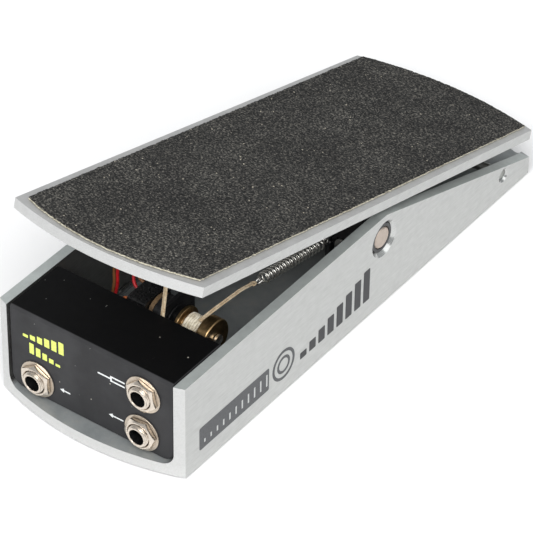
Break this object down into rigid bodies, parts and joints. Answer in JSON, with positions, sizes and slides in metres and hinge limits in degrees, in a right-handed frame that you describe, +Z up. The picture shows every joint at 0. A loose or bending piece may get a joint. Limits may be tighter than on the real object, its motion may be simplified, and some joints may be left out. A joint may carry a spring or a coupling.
{
  "type": "volume pedal",
  "caption": "Foot-operated volume pedal: aluminium channel base, rocking grip-faced treadle, cord-driven potentiometer with return spring, and jack sockets in the toe panel.",
  "frame": {"origin": "centre of the base's outline, in the plane of the bottoms of the rubber feet", "axes": "+Y from the jack (toe) end to the heel end, +X to the right when facing the jacks, +Z up"},
  "size_m": [0.0888, 0.254, 0.0891],
  "materials": {
    "satin_aluminium": "satin, fine brushed grain",
    "black_anodised": "satin black",
    "black_coated_sheet": "semi-matt black coat",
    "nickel": "polished nickel",
    "bright_steel": "bright zinc",
    "bronze": "dull bronze, bright rim",
    "black_rubber": "matt",
    "grit_sheet": "coarse grit",
    "black_plastic": "moulded",
    "phenolic": "brown laminate",
    "nylon": "smooth",
    "cord_fibre": "braided, waxed",
    "wire_brown_cover": "gloss",
    "wire_red_cover": "gloss",
    "wire_orange_cover": "gloss"
  },
  "bodies": {
    "base": {"base_channel": "satin_aluminium", "rubber_foot_1": "black_rubber", "rubber_foot_2": "black_rubber", "rubber_foot_3": "black_rubber", "rubber_foot_4": "black_rubber", "heel_stop_rod": "bright_steel", "bushing_left": "nylon", "bushing_right": "nylon", "jack_cover": "black_coated_sheet", "cover_screw_1": "bright_steel", "cover_screw_2": "bright_steel", "jack_in_barrel": "nickel", "jack_in_washer": "nickel", "jack_in_nut": "nickel", "jack_in_body": "black_plastic", "jack_tuner_barrel": "nickel", "jack_tuner_washer": "nickel", "jack_tuner_nut": "nickel", "jack_tuner_body": "black_plastic", "jack_out_barrel": "nickel", "jack_out_washer": "nickel", "jack_out_nut": "nickel", "jack_out_body": "black_plastic", "pot_bracket": "black_anodised", "bracket_screw_1": "bright_steel", "bracket_screw_2": "bright_steel", "pot_housing": "black_plastic", "pot_wafer": "phenolic", "pot_bushing": "black_anodised", "pot_washer": "black_anodised", "pot_nut": "black_anodised", "cord_guide_pin": "bright_steel", "spring_anchor_post": "black_anodised", "cord_toe_run": "cord_fibre", "cord_heel_run": "cord_fibre", "extension_spring": "bright_steel", "wire_brown": "wire_brown_cover", "wire_red": "wire_red_cover", "wire_red_return": "wire_red_cover", "wire_orange": "wire_orange_cover"},
    "treadle": {"treadle_plate": "satin_aluminium", "grip_sheet": "grit_sheet", "pivot_shaft": "nickel", "pivot_block_left": "black_anodised", "pivot_block_right": "black_anodised", "clamp_screw_left": "bright_steel", "clamp_screw_right": "bright_steel", "heel_bumper": "black_rubber", "toe_bumper": "black_rubber", "cord_anchor_screw": "bright_steel", "treadle_screw_1": "bright_steel", "treadle_screw_2": "bright_steel", "treadle_screw_3": "bright_steel", "treadle_screw_4": "bright_steel"},
    "spool": {"pot_shaft": "bright_steel", "pot_wiper": "phenolic", "spool": "bronze", "spool_screw": "bright_steel", "cord_windings": "cord_fibre"},
    "cord_end": {"cord_end_ferrule": "bright_steel"}
  },
  "joints": [
    {"name": "treadle_hinge", "type": "hinge", "parent": "base", "child": "treadle", "pos_m": [0, 0.0108, 0.0338], "axis": [1, 0, 0], "range_deg": [-2.8, 15.6], "deforming": ["cord_toe_run"]},
    {"name": "spool_turn", "type": "hinge", "parent": "base", "child": "spool", "pos_m": [0.0185, -0.0779, 0.0334], "axis": [1, 0, 0], "range_deg": [-248.5, 45.5]},
    {"name": "cord_end_slide", "type": "slide", "parent": "base", "child": "cord_end", "axis": [0.0103, 0.983, -0.1835], "range_m": [-0.005, 0.0272], "deforming": ["extension_spring", "cord_heel_run"]}
  ],
  "couplings": [
    {"joint": "spool_turn", "follows": "treadle_hinge", "ratio": -15.88},
    {"joint": "cord_end_slide", "follows": "treadle_hinge", "m_per_rad": 0.0993}
  ]
}
